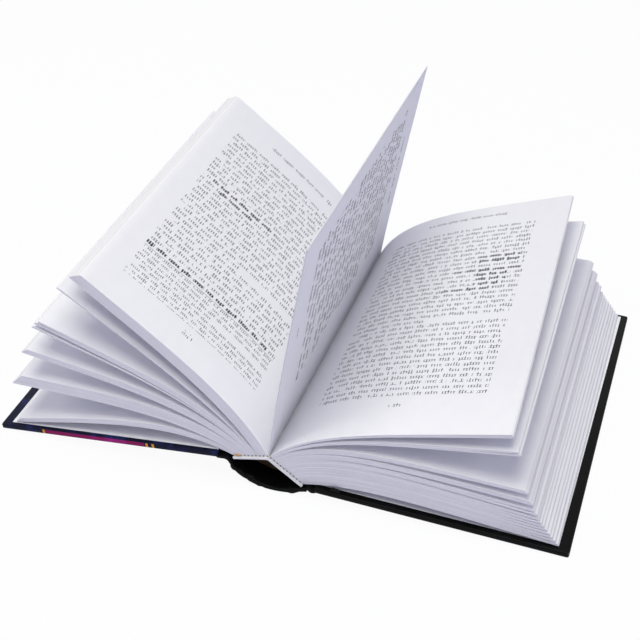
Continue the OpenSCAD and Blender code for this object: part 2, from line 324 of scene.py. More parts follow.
    # Fibre clouds of about 9 mm, and a tooth of 0.3 mm drawn at 0.9 mm so that it shows
    clouds, tooth = grain(tree, 9, 4), grain(tree, 0.9, 3)
    paper = add(tree, "ShaderNodeMix", {0: clouds, 6: linear("#ebebf1"), 7: linear("#f0f0f5")},
                data_type="RGBA")
    surface = add(tree, "ShaderNodeMix", {0: ink, 6: paper.outputs[2], 7: linear("#121216")},
                  data_type="RGBA")
    bump = add(tree, "ShaderNodeBump", {"Strength": 0.12, "Distance": 0.1 * MM, "Height": tooth})
    return shaded(material, {"Base Color": surface.outputs[2], "Roughness": 0.88, "IOR": 1.45,
                             "Specular IOR Level": 0.25, "Normal": bump})


def trimmed_edges():
    """The cut edges of many leaves: fine pale lines, a little darker than the leaves' faces as painted shade,
    with a darker line of painted shade about every 0.8 mm where leaves part.
    A leaf is 0.1 mm thick, so its line is drawn about three times as coarse."""
    material, tree = new_material("trimmed_leaf_edges")
    place = add(tree, "ShaderNodeUVMap", uv_map="page")
    lines = add(tree, "ShaderNodeMapping", {"Vector": place, "Scale": (1 / edge_line, 1 / edge_run, 1)})
    streak = add(tree, "ShaderNodeTexNoise", {"Vector": lines, "Scale": 1, "Detail": 2, "Roughness": 0.6},
                 noise_dimensions="2D").outputs["Fac"]
    tone = add(tree, "ShaderNodeMapRange", {"Value": streak, "From Min": 0.33, "From Max": 0.6})
    # Tones set a little below the leaves' faces: painted shade
    colour = add(tree, "ShaderNodeMix", {0: tone, 6: linear("#e0dfe3"), 7: linear("#edecf0")},
                 data_type="RGBA")
    across = add(tree, "ShaderNodeSeparateXYZ", [place])
    # Painted shade: a darker line about every 0.8 mm where leaves part
    parting_shade = add(tree, "ShaderNodeTexVoronoi", {"W": across, "Scale": 1 / parting_shade_pitch},
                  voronoi_dimensions="1D", feature="DISTANCE_TO_EDGE")
    parting_shade = add(tree, "ShaderNodeMapRange", {"Value": parting_shade, "From Min": 0.16, "From Max": 0.04})
    parting_shade = add(tree, "MULTIPLY", [parting_shade, tone])
    colour = add(tree, "ShaderNodeMix", {0: parting_shade, 6: colour.outputs[2], 7: linear("#c6c4ca")},
                 data_type="RGBA")
    bump = add(tree, "ShaderNodeBump", {"Strength": 0.12, "Distance": 0.1 * MM, "Height": streak})
    return shaded(material, {"Base Color": colour.outputs[2], "Roughness": 0.9, "Specular IOR Level": 0.2,
                             "Normal": bump})


def smooth(mesh, degrees):
    """Smooth shading, with edges sharper than the angle left crisp."""
    for face in mesh.polygons:
        face.use_smooth = True
    mesh.set_sharp_from_angle(angle=math.radians(degrees))


def shown(name, data):
    """A new object with that data in the scene."""
    obj = bpy.data.objects.new(name, data)
    bpy.context.scene.collection.objects.link(obj)
    return obj


def mesh_of(form, name, *materials):
    """The finished form as a mesh with its materials."""
    mesh = bpy.data.meshes.new(name)
    form.to_mesh(mesh)
    form.free()
    for material in materials:
        mesh.materials.append(material)
    return mesh


def piece(name, mesh, body, slot, *nodes):
    """The finished mesh as an object that moves with a body and stands for its CAD nodes."""
    obj = shown(name, mesh)
    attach(obj, body)
    if nodes:
        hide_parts(*nodes)


# Gatherings spring apart near the fore edge, and are cut a little unevenly at fore edge, head and tail
gathering_gap, gap_ease = 1.0, 9
fore_play, tail_play = 0.4, 0.2
nose_len, nose_t = 0.7, 0.5
leaf_rng = random.Random(11)
page_faces, edge_faces = 0, 1
paper_material, edge_material = printed_paper(), trimmed_edges()


def leaf_block(name, clump_range):
    """The gatherings of some clumps: thin closed slabs along the bent leaves, rounded at the fore edge."""
    form = bmesh.new()
    page_uv = form.loops.layers.uv.new("page")
    print_seed = form.faces.layers.float.new("print_seed")
    rows, columns = leaf_stations + 1, leaf_steps + 2
    stations = [station / leaf_stations for station in range(rows)]
    runs = [k * page_w / leaf_steps for k in range(columns)]

    def quad(corners, material, uvs, seed=0):
        face = form.faces.new(corners)
        face.material_index = material
        face[print_seed] = seed
        for loop, uv in zip(face.loops, uvs):
            loop[page_uv].uv = uv

    for clump in clump_range:
        sides = [[leaf_curve(clump, side, station) for station in stations] for side in (0, 1)]
        thickness, *_, count, _ = clumps[clump]
        gap_w = min(gathering_gap, thickness / count / 2) if count > 1 else 0
        for part in range(count):
            fore_cut = leaf_rng.uniform(0, fore_play) if count > 1 else 0
            end_cut = leaf_rng.uniform(0, tail_play) if count > 1 else 0
            grid = []
            for side in (0, 1):
                open_edge = part > 0 if side == 0 else part < count - 1
                for number, station in enumerate(stations):
                    first, last = sides[0][number], sides[1][number]
                    line = []
                    for k in range(leaf_steps + 1):
                        share = (part + side) / count
                        gap = open_edge * gap_w / thickness / 2 * (k / leaf_steps) ** gap_ease
                        share += gap if side == 0 else -gap
                        line.append(mix(first[k], last[k], share))
                    way = (line[-1] - line[-2]).normalized()
                    line[-1] = line[-1] - (fore_cut + nose_len) * way
                    narrowing = min(nose_t, (thickness / count - gap_w) / 4) / thickness
                    share += narrowing if side == 0 else -narrowing
                    line.append(mix(first[-1], last[-1], share) - fore_cut * way)
                    y = mix(-page_h / 2 + end_cut, page_h / 2 - end_cut, station)
                    grid.append([form.verts.new(Vector((p.x, y, p.y)) * MM) for p in line])

            for side in (0, 1):
                outermost = part == 0 if side == 0 else part == count - 1
                seed = 2 * clump + side + 1 if outermost else 0
                top = recto_top if side == 0 else verso_top
                for j in range(leaf_stations):
                    for k in range(columns - 1):
                        ring = ((j, k), (j, k + 1), (j + 1, k + 1), (j + 1, k))
                        uvs = [(runs[b] - recto_margin if side == 0 else verso_margin - runs[b],
                                top - a * page_h / leaf_stations) for a, b in ring]
                        quad([grid[side * rows + a][b] for a, b in ring], page_faces, uvs, seed)
            low, high = [fold_at(clump) + (part + side) / count * thickness for side in (0, 1)]
            for j in (0, leaf_stations):
                for k in range(columns - 1):
                    ring = [grid[j][k], grid[j][k + 1], grid[rows + j][k + 1], grid[rows + j][k]]
                    quad(ring, edge_faces,
                         [(low, runs[k]), (low, runs[k + 1]), (high, runs[k + 1]), (high, runs[k])])
            for k in (0, columns - 1):
                for j in range(leaf_stations):
                    ring = [grid[j][k], grid[j + 1][k], grid[rows + j + 1][k], grid[rows + j][k]]
                    ys = [a * page_h / leaf_stations for a in (j, j + 1)]
                    quad(ring, edge_faces, [(low, ys[0]), (low, ys[1]), (high, ys[1]), (high, ys[0])])
    bmesh.ops.recalc_face_normals(form, faces=form.faces)
    mesh = mesh_of(form, name, paper_material, edge_material)
    smooth(mesh, 30)
    piece(name, mesh, "block", "book_paper", *[clump_nodes[clump] for clump in clump_range])


leaf_block("left_leaves", range(front_count))
leaf_block("standing_leaves", [front_count])
leaf_block("right_leaves", range(front_count + 1, len(clumps)))

# Glued folds
# Behind the leaves the folds of the gatherings are glued into one backbone, rough with dried glue.
# It keeps its solid, the strip between the folds and the mull.
front_out, back_out = along(front_droop - 90), along(-back_droop - 90)


def spine_line(d):
    """The folded spine moved outwards by d: front end, gutter, back end."""
    corner = gutter + d * (front_out + back_out) / (1 + front_out.dot(back_out))
    return [front_end + d * front_out, corner, back_end + d * back_out]


def sheet_mesh(name, rows, material, closed=False):
    """A mesh from rows of points, each row joined to the next; closed joins each row's ends too."""
    form = bmesh.new()
    verts = [form.verts.new(Vector(p) * MM) for row in rows for p in row]
    width = len(rows[0])
    for j in range(len(rows) - 1):
        for k in range(width if closed else width - 1):
            a, b = j * width + k, j * width + (k + 1) % width
            form.faces.new([verts[i] for i in (a, b, b + width, a + width)])
    if closed:
        form.faces.new(verts[:width])
        form.faces.new(verts[-width:])
    bmesh.ops.recalc_face_normals(form, faces=form.faces)
    return mesh_of(form, name, material)


def mottled(name, size, detail, tones, surface, relief=None):
    """A finish with patches of two tones, of a size in millimetres."""
    material, tree = new_material(name)
    return toned(material, grain(tree, size, detail), tones, surface, relief)


def finish_node(name, material):
    """Gives a CAD node that keeps its shape its finish."""
    for place in frame["nodes"][name].material_slots:
        place.material = material


# Hot binding glue between the folds: dull ivory with a slight gloss and shallow runs along the spine
finish_node("glued_folds", mottled("dried_binding_glue", (1.2, 14, 1.2), 3, ("#cfc6ac", "#e4dfd0"),
                                   {"Roughness": 0.45, "IOR": 1.48}, relief=(0.6, 0.3)))

# Mull and kraft lining
# A loosely woven cotton mull is glued over the folds, and a strip of kraft paper over the mull.
# They keep their solids; the weave and the paper's fibres are in the finish.
mull_pitch, mull_waver = 1, 0.6


def ridges(tree, pitch, turn, distortion=0):
    """Threads side by side at a pitch in millimetres, turned about the upright axis."""
    where = add(tree, "ShaderNodeTexCoord").outputs["Object"]
    turned = add(tree, "ShaderNodeMapping", {"Vector": where, "Rotation": (0, 0, turn)})
    return add(tree, "ShaderNodeTexWave", {
        "Vector": turned, "Scale": 2 / (pitch * MM) / math.tau, "Distortion": distortion,
        "Detail Scale": 2}).outputs["Fac"]


def mull_cloth():
    """Cotton mull sized with glue: an open plain weave, threads 1 mm apart, with glue shining between."""
    material, tree = new_material("cotton_mull")
    threads = add(tree, "MAXIMUM", [ridges(tree, mull_pitch, turn, mull_waver)
                                    for turn in (0, math.pi / 2)])
    return toned(material, threads, ("#b9ac8c", "#e9e2cf"), {"Roughness": 0.7, "Sheen Weight": 0.2},
                 relief=(0.7, 0.2))


# Unbleached kraft: brown, matt, with long darker fibres of about 3 mm along the sheet
kraft_material = mottled("kraft_paper", (0.5, 3, 0.5), 5, ("#594730", "#8a7150"), {"Roughness": 0.8},
                         relief=(0.3, 0.15))
finish_node("spine_mull", mull_cloth())
finish_node("spine_lining", kraft_material)

# Sewing
# The gatherings are sewn through their folds with linen thread. In the open gutter the thread lies in
# stitches along the fold, sunk between the leaves on either side.
thread_d = 0.45
stitch_len, stitch_pitch = 17, 21
stitch_lift, stitch_inset = 0.5, 10
thread_twist, twist_slant = 0.6, 35


def linen_thread():
    """Bleached linen thread, waxed: off-white with a twist of 0.6 mm and a dull sheen."""
    material, tree = new_material("waxed_linen_thread")
    twist = ridges(tree, thread_twist, math.radians(twist_slant))
    return toned(material, twist, ("#bdbac6", "#efeef2"), {"Roughness": 0.6}, relief=(0.5, 0.1))


def new_tree(name, sizes):
    """An empty geometry tree with named lengths as inputs."""
    tree = bpy.data.node_groups.new(name, "GeometryNodeTree")
    tree.interface.new_socket("Geometry", in_out="INPUT", socket_type="NodeSocketGeometry")
    for size in sizes:
        tree.interface.new_socket(size, in_out="INPUT", socket_type="NodeSocketFloat")
    tree.interface.new_socket("Geometry", in_out="OUTPUT", socket_type="NodeSocketGeometry")
    return tree, add(tree, "NodeGroupInput")


def close_tree(tree, placed, material):
    """Ends a tree: instances become real geometry and take the material."""
    solid = add(tree, "GeometryNodeRealizeInstances", [placed])
    finished = add(tree, "GeometryNodeSetMaterial", {"Geometry": solid, "Material": material})
    add(tree, "NodeGroupOutput", [finished])
    return tree


def stitch_tree(material):
    """Short stitches at an even pitch along a path."""
    tree, given = new_tree("stitches", ("Pitch", "Length", "Thread"))
    path = add(tree, "GeometryNodeMeshToCurve", [given])
    pitch = given.outputs["Pitch"]
    spots = add(tree, "GeometryNodeCurveToPoints", {"Curve": path, "Length": pitch}, mode="LENGTH")
    radius = add(tree, "MULTIPLY", [given.outputs["Thread"], 0.5])
    stitch = add(tree, "GeometryNodeMeshCylinder", {
        "Vertices": 8, "Side Segments": 4, "Radius": radius, "Depth": given.outputs["Length"]})
    placed = add(tree, "GeometryNodeInstanceOnPoints", {
        "Points": spots, "Instance": stitch, "Rotation": spots.outputs["Rotation"]})
    return close_tree(tree, placed, material)


def evaluated(obj):
    """The mesh that an object's modifiers make; the object itself goes."""
    mesh = bpy.data.meshes.new_from_object(obj.evaluated_get(bpy.context.evaluated_depsgraph_get()))
    bpy.data.objects.remove(obj)
    return mesh


def grow(name, paths, tree, sizes):
    """A mesh grown along paths by a geometry tree, with its lengths given in millimetres."""
    points = [Vector(p) * MM for path in paths for p in path]
    edges, start = [], 0
    for path in paths:
        edges += [(start + k, start + k + 1) for k in range(len(path) - 1)]
        start += len(path)
    line = bpy.data.meshes.new(name + "_path")
    line.from_pydata(points, edges, [])
    obj = shown(name + "_grown", line)
    modifier = obj.modifiers.new("grow", "NODES")
    modifier.node_group = tree
    for socket in tree.interface.items_tree:
        if socket.name in sizes:
            modifier[socket.identifier] = sizes[socket.name] * MM
    mesh = evaluated(obj)
    mesh.name = name
    return mesh


stitch_end = page_h / 2 - stitch_inset
sewing_paths = []
for lean in (1, -1):
    x = gutter.x - lean * (standing_t + gutter_w) / 2
    sewing_paths.append([(x, -stitch_end, gutter.y + stitch_lift), (x, stitch_end, gutter.y + stitch_lift)])
sewing = grow("sewing_thread", sewing_paths, stitch_tree(linen_thread()),
              {"Pitch": stitch_pitch, "Length": stitch_len, "Thread": thread_d})
piece("sewing_thread", sewing, "block", "cotton_band")

# Tailband and headband
# A cotton band with a rolled bead is glued to each end of the spine; the bead stands just past the leaves.
# Fine cotton is wound round the bead's core, and a dark thread ties it down along the leaves.
band_r, band_corner = 1.1, 2.5
band_out = 1.6
band_tape = 10
wind_pitch, wind_d = 0.62, 0.62
tie_pitch, tie_out, tie_in, knot_r = 2.4, 0.3, 0.35, 0.32
mull_t, lining_t = 0.4, 0.4

# Mercerised cotton wound on the bead: clean white, soft, with the gloss of a combed thread
cotton_material = mottled("mercerised_cotton", 0.5, 4, ("#dfdfe6", "#fbfbfc"),
                          {"Roughness": 0.6, "Sheen Weight": 0.3}, relief=(0.3, 0.1))
# Dyed cotton tying thread: near black, matt, slightly fuzzy
dark_material = mottled("dyed_cotton_thread", 0.4, 3, ("#2b2c38", "#555666"), {"Roughness": 0.85})


def band_tree(material):
    """A core along a bent path, wound with thread from end to end."""
    tree, given = new_tree("wound_band", ("Core", "Pitch", "Thread", "Corner"))
    sharp = add(tree, "GeometryNodeMeshToCurve", [given])
    path = add(tree, "GeometryNodeFilletCurve", {
        "Curve": sharp, "Count": 6, "Radius": given.outputs["Corner"]}, mode="POLY")
    core_r = add(tree, "SUBTRACT", [given.outputs["Core"], given.outputs["Thread"]])
    ring = add(tree, "GeometryNodeCurvePrimitiveCircle", {"Resolution": 10, "Radius": core_r})
    core = add(tree, "GeometryNodeCurveToMesh", {"Curve": path, "Profile Curve": ring, "Fill Caps": True})
    turn_r = add(tree, "MULTIPLY_ADD", [given.outputs["Thread"], -0.5, given.outputs["Core"]])
    thread_r = add(tree, "MULTIPLY", [given.outputs["Thread"], 0.5])
    turn = add(tree, "GeometryNodeCurvePrimitiveCircle", {"Resolution": 12, "Radius": turn_r})
    thread = add(tree, "GeometryNodeCurvePrimitiveCircle", {"Resolution": 6, "Radius": thread_r})
    loop = add(tree, "GeometryNodeCurveToMesh", {"Curve": turn, "Profile Curve": thread})
    pitch = given.outputs["Pitch"]
    spots = add(tree, "GeometryNodeCurveToPoints", {"Curve": path, "Length": pitch}, mode="LENGTH")
    turns = add(tree, "GeometryNodeInstanceOnPoints", {
        "Points": spots, "Instance": loop, "Rotation": spots.outputs["Rotation"]})
    both = add(tree, "GeometryNodeJoinGeometry")
    for part in (core, turns):
        tree.links.new(part.outputs[0], both.inputs[0])
    return close_tree(tree, both, material)


def tie_tree(material):
    """Small knots at an even pitch along a path."""
    tree, given = new_tree("ties", ("Pitch", "Knot"))
    path = add(tree, "GeometryNodeMeshToCurve", [given])
    pitch = given.outputs["Pitch"]
    spots = add(tree, "GeometryNodeCurveToPoints", {"Curve": path, "Length": pitch}, mode="LENGTH")
    knot = add(tree, "GeometryNodeMeshIcoSphere", {"Radius": given.outputs["Knot"], "Subdivisions": 2})
    placed = add(tree, "GeometryNodeInstanceOnPoints", {
        "Points": spots, "Instance": knot, "Scale": (1, 1, 1.5)})
    return close_tree(tree, placed, material)


bead_tree, knot_tree = band_tree(cotton_material), tie_tree(dark_material)
bead_y = page_h / 2 + band_out - band_r
for name, end in (("tailband", -1), ("headband", 1)):
    bead_line = [(p.x, end * bead_y, p.y) for p in spine_line(band_r)]
    bead = grow(name + "_bead", [bead_line], bead_tree,
                {"Core": band_r, "Pitch": wind_pitch, "Thread": wind_d, "Corner": band_corner})
    smooth(bead, 60)
    piece(name + "_bead", bead, "block", "cotton_band", name)
    tie_line = [(p.x, end * (page_h / 2 + tie_out), p.y) for p in spine_line(-tie_in)]
    ties = grow(name + "_ties", [tie_line], knot_tree, {"Pitch": tie_pitch, "Knot": knot_r})
    piece(name + "_ties", ties, "block", "cotton_band", name)
    tape = [*spine_line(glue_t + mull_t), *reversed(spine_line(glue_t + mull_t + lining_t))]
    tape_rows = [[(p.x, end * y, p.y) for p in tape] for y in (page_h / 2 - band_tape, page_h / 2)]
    piece(name + "_tape", sheet_mesh(name + "_tape", tape_rows, cotton_material, closed=True),
          "block", "cotton_band", name)

# Glue spot
# A bead of brown glue has oozed out beside the tailband at its front end.
spot_size = Vector((2.3, 0.7, 0.55))
spot_along, spot_in, spot_out = 3.2, 0.45, 0.3
bulge_share, bulge_rate = 0.18, 2.5
spot_place = spine_line(-spot_in)[0] - spot_along * front_dir
spot_middle = Vector((spot_place.x, -page_h / 2 - spot_out, spot_place.y))
glue_spot = bmesh.new()
bmesh.ops.create_icosphere(glue_spot, subdivisions=3, radius=1)
for vert in glue_spot.verts:
    bulge = 1 + bulge_share * noise.noise(vert.co * bulge_rate)
    vert.co = (spot_middle + bulge * spot_size * vert.co) * MM

# Animal glue, dried: clear amber with a soft gloss and darker threads of about 1 mm
amber_material = mottled("amber_hide_glue", 1, 3, ("#a8732f", "#dcae6c"), {"Roughness": 0.35})
spot_mesh = mesh_of(glue_spot, "glue_spot", amber_material)
smooth(spot_mesh, 60)
piece("glue_spot", spot_mesh, "block", "dried_glue")

# Case boards and stiffener
# Two grey boards and a curved strip of thinner board give the case its shape. The wrap hides the boards;
# the stiffener shows brown in the hollow behind the leaves.
board_t, wrap_t, joint_w, square = 3, 0.35, 5.5, 3
reach = page_w + square
cover_h = page_h + 2 * square
turn_in = 15

# Machine-made binder's board of recycled fibre: grey, dense, with darker flecks of 0.6 mm
board_material = mottled("binders_board", 0.6, 4, ("#77736c", "#a19c93"), {"Roughness": 0.85})
finish_node("front_board", board_material)
finish_node("back_board", board_material)
finish_node("spine_inlay", kraft_material)

# Wrap
# Printed paper under a satin film is glued round the boards and the curved back and turned in at every edge.
# It is one sheet: the covers carry the panels, the back its own panel, and the joints bend between them.
edge_r, corner_r, bevel_steps = 0.9, 1.6, 4
long_edge, long_cuts = 40, 5
front_slope = math.degrees(math.asin(front_hinge.y / reach))
back_slope = math.degrees(math.asin(back_hinge.y / reach))
front_axes = along(180 + front_slope), along(90 + front_slope)
back_axes = along(-back_slope), along(90 - back_slope)
panel_u0, panel_u1 = 54, 125
panel_top = -22
stripe_w, stripe_pitch = 1.6, 4.2


def laminated_wrap(name, ground, blotch, design=False):
    """Art paper printed and laminated with satin film: deep colour under a soft broad sheen, with the film's
    fine orange peel of 2.5 mm. On the front cover a plain panel between lines is printed."""
    material, tree = new_material(name)
    patches = add(tree, "ShaderNodeMapRange", {
        "Value": grain(tree, 14, 5), "From Min": 0.5, "From Max": 0.75})
    colour = add(tree, "ShaderNodeMix", {0: patches, 6: linear(ground), 7: linear(blotch)},
                 data_type="RGBA").outputs[2]
    if design:
        spot = add(tree, "ShaderNodeAttribute", attribute_name="cover_place")
        spot = add(tree, "ShaderNodeSeparateXYZ", [spot.outputs["Vector"]])
        u, y, depth = spot.outputs[0], spot.outputs[1], spot.outputs[2]
        outside = add(tree, "LESS_THAN", [depth, board_t + wrap_t])
        low = add(tree, "LESS_THAN", [y, panel_top])
        outside = add(tree, "MULTIPLY", [outside, low])
        magenta = add(tree, "ShaderNodeMix", {0: patches, 6: linear("#8c1c59"), 7: linear("#a92a84")},
                      data_type="RGBA").outputs[2]
        gold = linear("#d9983a")
        fields = [(magenta, u, (panel_u0 + panel_u1) / 2, (panel_u1 - panel_u0) / 2),
                  (gold, u, panel_u1, stripe_w / 2),
                  (gold, u, panel_u0 - stripe_w, stripe_w / 2),
                  (gold, u, panel_u0 - stripe_w - stripe_pitch, stripe_w / 2),
                  (gold, y, panel_top, stripe_w / 2)]
        for tone, way, middle, half in fields:
            band = add(tree, "COMPARE", [way, middle, half])
            band = add(tree, "MULTIPLY", [band, outside])
            colour = add(tree, "ShaderNodeMix", {0: band, 6: colour, 7: tone}, data_type="RGBA").outputs[2]
    peel = grain(tree, 2.5, 3)
    rough = add(tree, "ShaderNodeMapRange", {"Value": peel, "To Min": 0.28, "To Max": 0.5})
    bump = add(tree, "ShaderNodeBump", {"Strength": 0.3, "Distance": 0.2 * MM, "Height": peel})
    return shaded(material, {"Base Color": colour, "Roughness": rough, "IOR": 1.5,
                             "Specular IOR Level": 0.07, "Normal": bump})


navy_material = laminated_wrap("laminated_navy_print", "#14162b", "#2b2f66", design=True)
black_material = laminated_wrap("laminated_black_print", "#070708", "#0e0f12")


def cover_point(hinge, axes, u, y, v):
    """A place on a cover: u out from the hinge line, v up from the outer face."""
    p = hinge + u * axes[0] + v * axes[1]
    return Vector((p.x, y, p.y))


def box_form(form, low, high):
    """A closed box between two corners."""
    made = bmesh.ops.create_cube(form, size=1)["verts"]
    for vert in made:
        vert.co = Vector([mix(a, b, c + 0.5) for a, b, c in zip(low, high, vert.co)])
    return made


def cover_wrap(name, hinge, axes, material, body, slot):
    """The wrap round one board: rounded at every edge, hollow where the board lies."""
    top_v = board_t + 2 * wrap_t
    form = bmesh.new()
    box_form(form, (joint_w - wrap_t, -cover_h / 2, 0), (reach, cover_h / 2, top_v))
    upright = [e for e in form.edges
               if abs(e.verts[0].co.z - e.verts[1].co.z) > top_v / 2 and e.verts[0].co.x > reach / 2]
    bmesh.ops.bevel(form, geom=upright, offset=corner_r, segments=bevel_steps, profile=0.5, affect="EDGES")
    rims = [e for e in form.edges if abs(e.verts[0].co.z - e.verts[1].co.z) < 0.01]
    bmesh.ops.bevel(form, geom=rims, offset=edge_r, segments=bevel_steps, profile=0.5, affect="EDGES")
    long_edges = [e for e in form.edges if e.calc_length() > long_edge]
    bmesh.ops.subdivide_edges(form, edges=long_edges, cuts=long_cuts, use_grid_fill=True)
    bmesh.ops.recalc_face_normals(form, faces=form.faces)
    hollow = box_form(form, (joint_w, -cover_h / 2 + wrap_t, wrap_t),
                      (reach - wrap_t, cover_h / 2 - wrap_t, wrap_t + board_t))
    inner = {f for v in hollow for f in v.link_faces}
    bmesh.ops.reverse_faces(form, faces=list(inner))
    mesh = mesh_of(form, name, material)
    place = mesh.attributes.new("cover_place", "FLOAT_VECTOR", "POINT")
    for vert, spot in zip(mesh.vertices, place.data):
        spot.vector = vert.co
        vert.co = cover_point(hinge, axes, *vert.co) * MM
    if axes[0].x < 0:
        mesh.flip_normals()
    smooth(mesh, 35)
    piece(name, mesh, body, slot, name)


cover_wrap("front_wrap", front_hinge, front_axes, navy_material, "front_cover", "navy_wrap")
cover_wrap("back_wrap", back_hinge, back_axes, black_material, "back_cover", "black_wrap")

# The back's panel and the joints are ribbons: each runs along the book outside, turns round the end and
# comes back inside as the turn-in, and its two layers part where the stiffener lies between them.
spine_r, inlay_t, inlay_inset = 37, 1.2, 2
arc_right = math.degrees(math.acos(1 - back_hinge.y / spine_r))
arc_left = arc_right - math.degrees(spine_len / spine_r)
arc_centre = Vector((back_hinge.x - spine_r * math.sin(math.radians(arc_right)), spine_r))
ribbon_t = 0.3
joint_layer = 0.75
crumple, crumple_size, crumple_reach, crumple_limit = 2.6, 4.5, 22, 0.6
round_steps, lap_steps, long_steps = 8, 6, 60


def ribbon(name, section, depths, material):
    """A folded sheet swept across a section of outer points with inward normals; depth parts its two layers.
    Towards head and tail it is a little crumpled by handling."""
    half = cover_h / 2
    rows = []
    for (point, inward), depth in zip(section, depths):
        bend_r = depth / 2
        turns = [math.pi * k / round_steps for k in range(round_steps + 1)]
        bend = [(bend_r * (1 - math.sin(turn)), bend_r * (1 + math.cos(turn))) for turn in turns]
        end = [(mix(turn_in, bend_r, k / lap_steps), depth) for k in range(lap_steps)] + bend
        runs = [(-half + y, d) for y, d in end]
        runs += [(mix(-half + bend_r, half - bend_r, k / long_steps), 0) for k in range(1, long_steps)]
        runs += [(half - y, d) for y, d in reversed(end)]
        row = []
        for y, d in runs:
            near_end = max(0, 1 - (half - abs(y)) / crumple_reach)
            spot = Vector((point.x, y, point.y)) / crumple_size
            dent = min(crumple * near_end * abs(noise.noise(spot)), crumple_limit * point.y)
            place = point + (d + (dent if d > bend_r else -dent)) * inward
            row.append((place.x, y, place.y))
        rows.append(row)
    obj = shown(name, sheet_mesh(name, rows, material))
    wall = obj.modifiers.new("wall", "SOLIDIFY")
    wall.thickness = ribbon_t * MM
    wall.offset = 0
    mesh = evaluated(obj)
    smooth(mesh, 45)
    return mesh


arc_steps = 24
panel_section, panel_depths = [], []
for k in range(arc_steps + 1):
    angle = mix(arc_right, arc_left, k / arc_steps) - 90
    panel_section.append((arc_centre + (spine_r - ribbon_t / 2) * along(angle), -along(angle)))
    from_end = min(k, arc_steps - k) / arc_steps * spine_len
    share = min(1, from_end / (2 * inlay_inset))
    panel_depths.append(mix(joint_layer, inlay_t + wrap_t + ribbon_t, share * share * (3 - 2 * share)))
piece("spine_wrap", ribbon("spine_wrap_panel", panel_section, panel_depths, black_material),
      "block", "black_wrap", "spine_wrap")


def bending_piece(name, mesh):
    """A piece across a joint, shown with its place baked into its mesh; it is attached to no body."""
    obj = shown(name, mesh)
    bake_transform(obj)


strip_steps, strip_rounds = 4, 3


def joint_strip(name, corners):
    """The bent strip of wrap over a joint, which runs from the back at one end to the cover at the other."""
    line = []
    for a, b in zip(corners, corners[1:]):
        line += [mix(a, b, k / strip_steps) for k in range(strip_steps)]
    line.append(corners[-1])
    for _ in range(strip_rounds):
        line = [line[0], *[(a + 2 * b + c) / 4 for a, b, c in zip(line, line[1:], line[2:])], line[-1]]
    section = []
    for k, point in enumerate(line):
        run = (line[min(k + 1, len(line) - 1)] - line[max(k - 1, 0)]).normalized()
        inward = Vector((-run.y, run.x))
        section.append((point, inward if inward.y > 0 else -inward))
    mesh = ribbon(name, section, [joint_layer] * len(section), black_material)
    bending_piece(name, mesh)


# Each strip runs from the back's edge through two corners of its groove to just over the board's edge
front_foot, back_foot = [arc_centre + (spine_r - ribbon_t / 2) * along(angle - 90)
                         for angle in (arc_left, arc_right)]
groove, strip_lap, strip_lift = 1.3, 0.4, 0.2
front_stop, back_stop = [hinge + (joint_w + strip_lap) * axes[0] + strip_lift * axes[1]
                         for hinge, axes in ((front_hinge, front_axes), (back_hinge, back_axes))]
joint_strip("front_joint", [front_foot, front_hinge + Vector((1.2, -0.9)),
                            front_hinge + 2 * front_axes[0], front_stop])
joint_strip("back_joint", [back_foot, back_hinge + 1.2 * back_axes[0] + groove * back_axes[1],
                           back_hinge + 2.6 * back_axes[0] + 0.4 * back_axes[1], back_stop])

# A tongue of the turned-in wrap has come loose beside the back joint and stands up at the tail
tongue_t, tongue_inset = 0.5, 0.9
tongue_y = -cover_h / 2 + tongue_inset
tongue_line = [(14.2, 3.2), (15.2, 6.4), (16.2, 7.2), (19.6, 6.9), (20.6, 6.0), (21.4, 3.2)]
tongue_rows = [[cover_point(back_hinge, back_axes, u, y, v) for u, v in tongue_line]
               for y in (tongue_y, tongue_y + tongue_t)]
piece("loose_turn_in", sheet_mesh("loose_turn_in", tongue_rows, black_material, closed=True),
      "back_cover", "black_wrap")

# Pasted endpapers
# A heavier sheet is pasted inside each cover over the turn-ins, which show through it as a shallow step.
# The squares of the wrap stay bare round it; the back sheet is pasted a little askew.
endpaper_t = 0.25
step_h, step_run = 0.18, 2.5
sheet_cuts, sheet_rows = 48, 64
front_bare, back_bare = (7, 7), (6.6, 4.6)
back_tail_bare = 1.2


def endpaper():
    """Heavy uncoated endpaper: plain white, matt, with a soft cloudiness of about 12 mm."""
    material, tree = new_material("uncoated_endpaper")
    return toned(material, grain(tree, 12, 4), ("#f1f1f6", "#f7f7fa"),
                 {"Roughness": 0.88, "Specular IOR Level": 0.25}, relief=(0.15, 0.1),
                 height=grain(tree, 0.9, 3))


def pastedown(name, hinge, axes, material, body, bare, tail_bare):
    """A thin closed sheet whose face dips a little inside the turn-ins."""
    base = board_t + 2 * wrap_t
    rows = []
    for j in range(sheet_rows + 1):
        y = mix(-page_h / 2 + tail_bare, page_h / 2, j / sheet_rows)
        stop = reach - mix(*bare, j / sheet_rows)
        us = [mix(joint_w, stop, k / sheet_cuts) for k in range(sheet_cuts + 1)]
        row = []
        for u in us:
            inside = min(reach - turn_in - u, cover_h / 2 - turn_in - abs(y)) / step_run
            dip = step_h * min(1, max(0, inside))
            row.append(cover_point(hinge, axes, u, y, base + endpaper_t - dip))
        under = [cover_point(hinge, axes, u, y, base - step_h) for u in reversed(us)]
        rows.append(row + under)
    mesh = sheet_mesh(name, rows, material, closed=True)
    smooth(mesh, 40)
    piece(name, mesh, body, "endpaper", name)


endpaper_material = endpaper()
pastedown("front_pastedown", front_hinge, front_axes, endpaper_material, "front_cover", front_bare, 0)
pastedown("back_pastedown", back_hinge, back_axes, endpaper_material, "back_cover", back_bare,
          back_tail_bare)

fold_lift, fold_lap, fold_sag, fold_t, fold_inset, fold_clear = 0.3, 0.6, 1.0, 0.2, 1, 0.05
fold_cuts, fold_rows = 12, 8


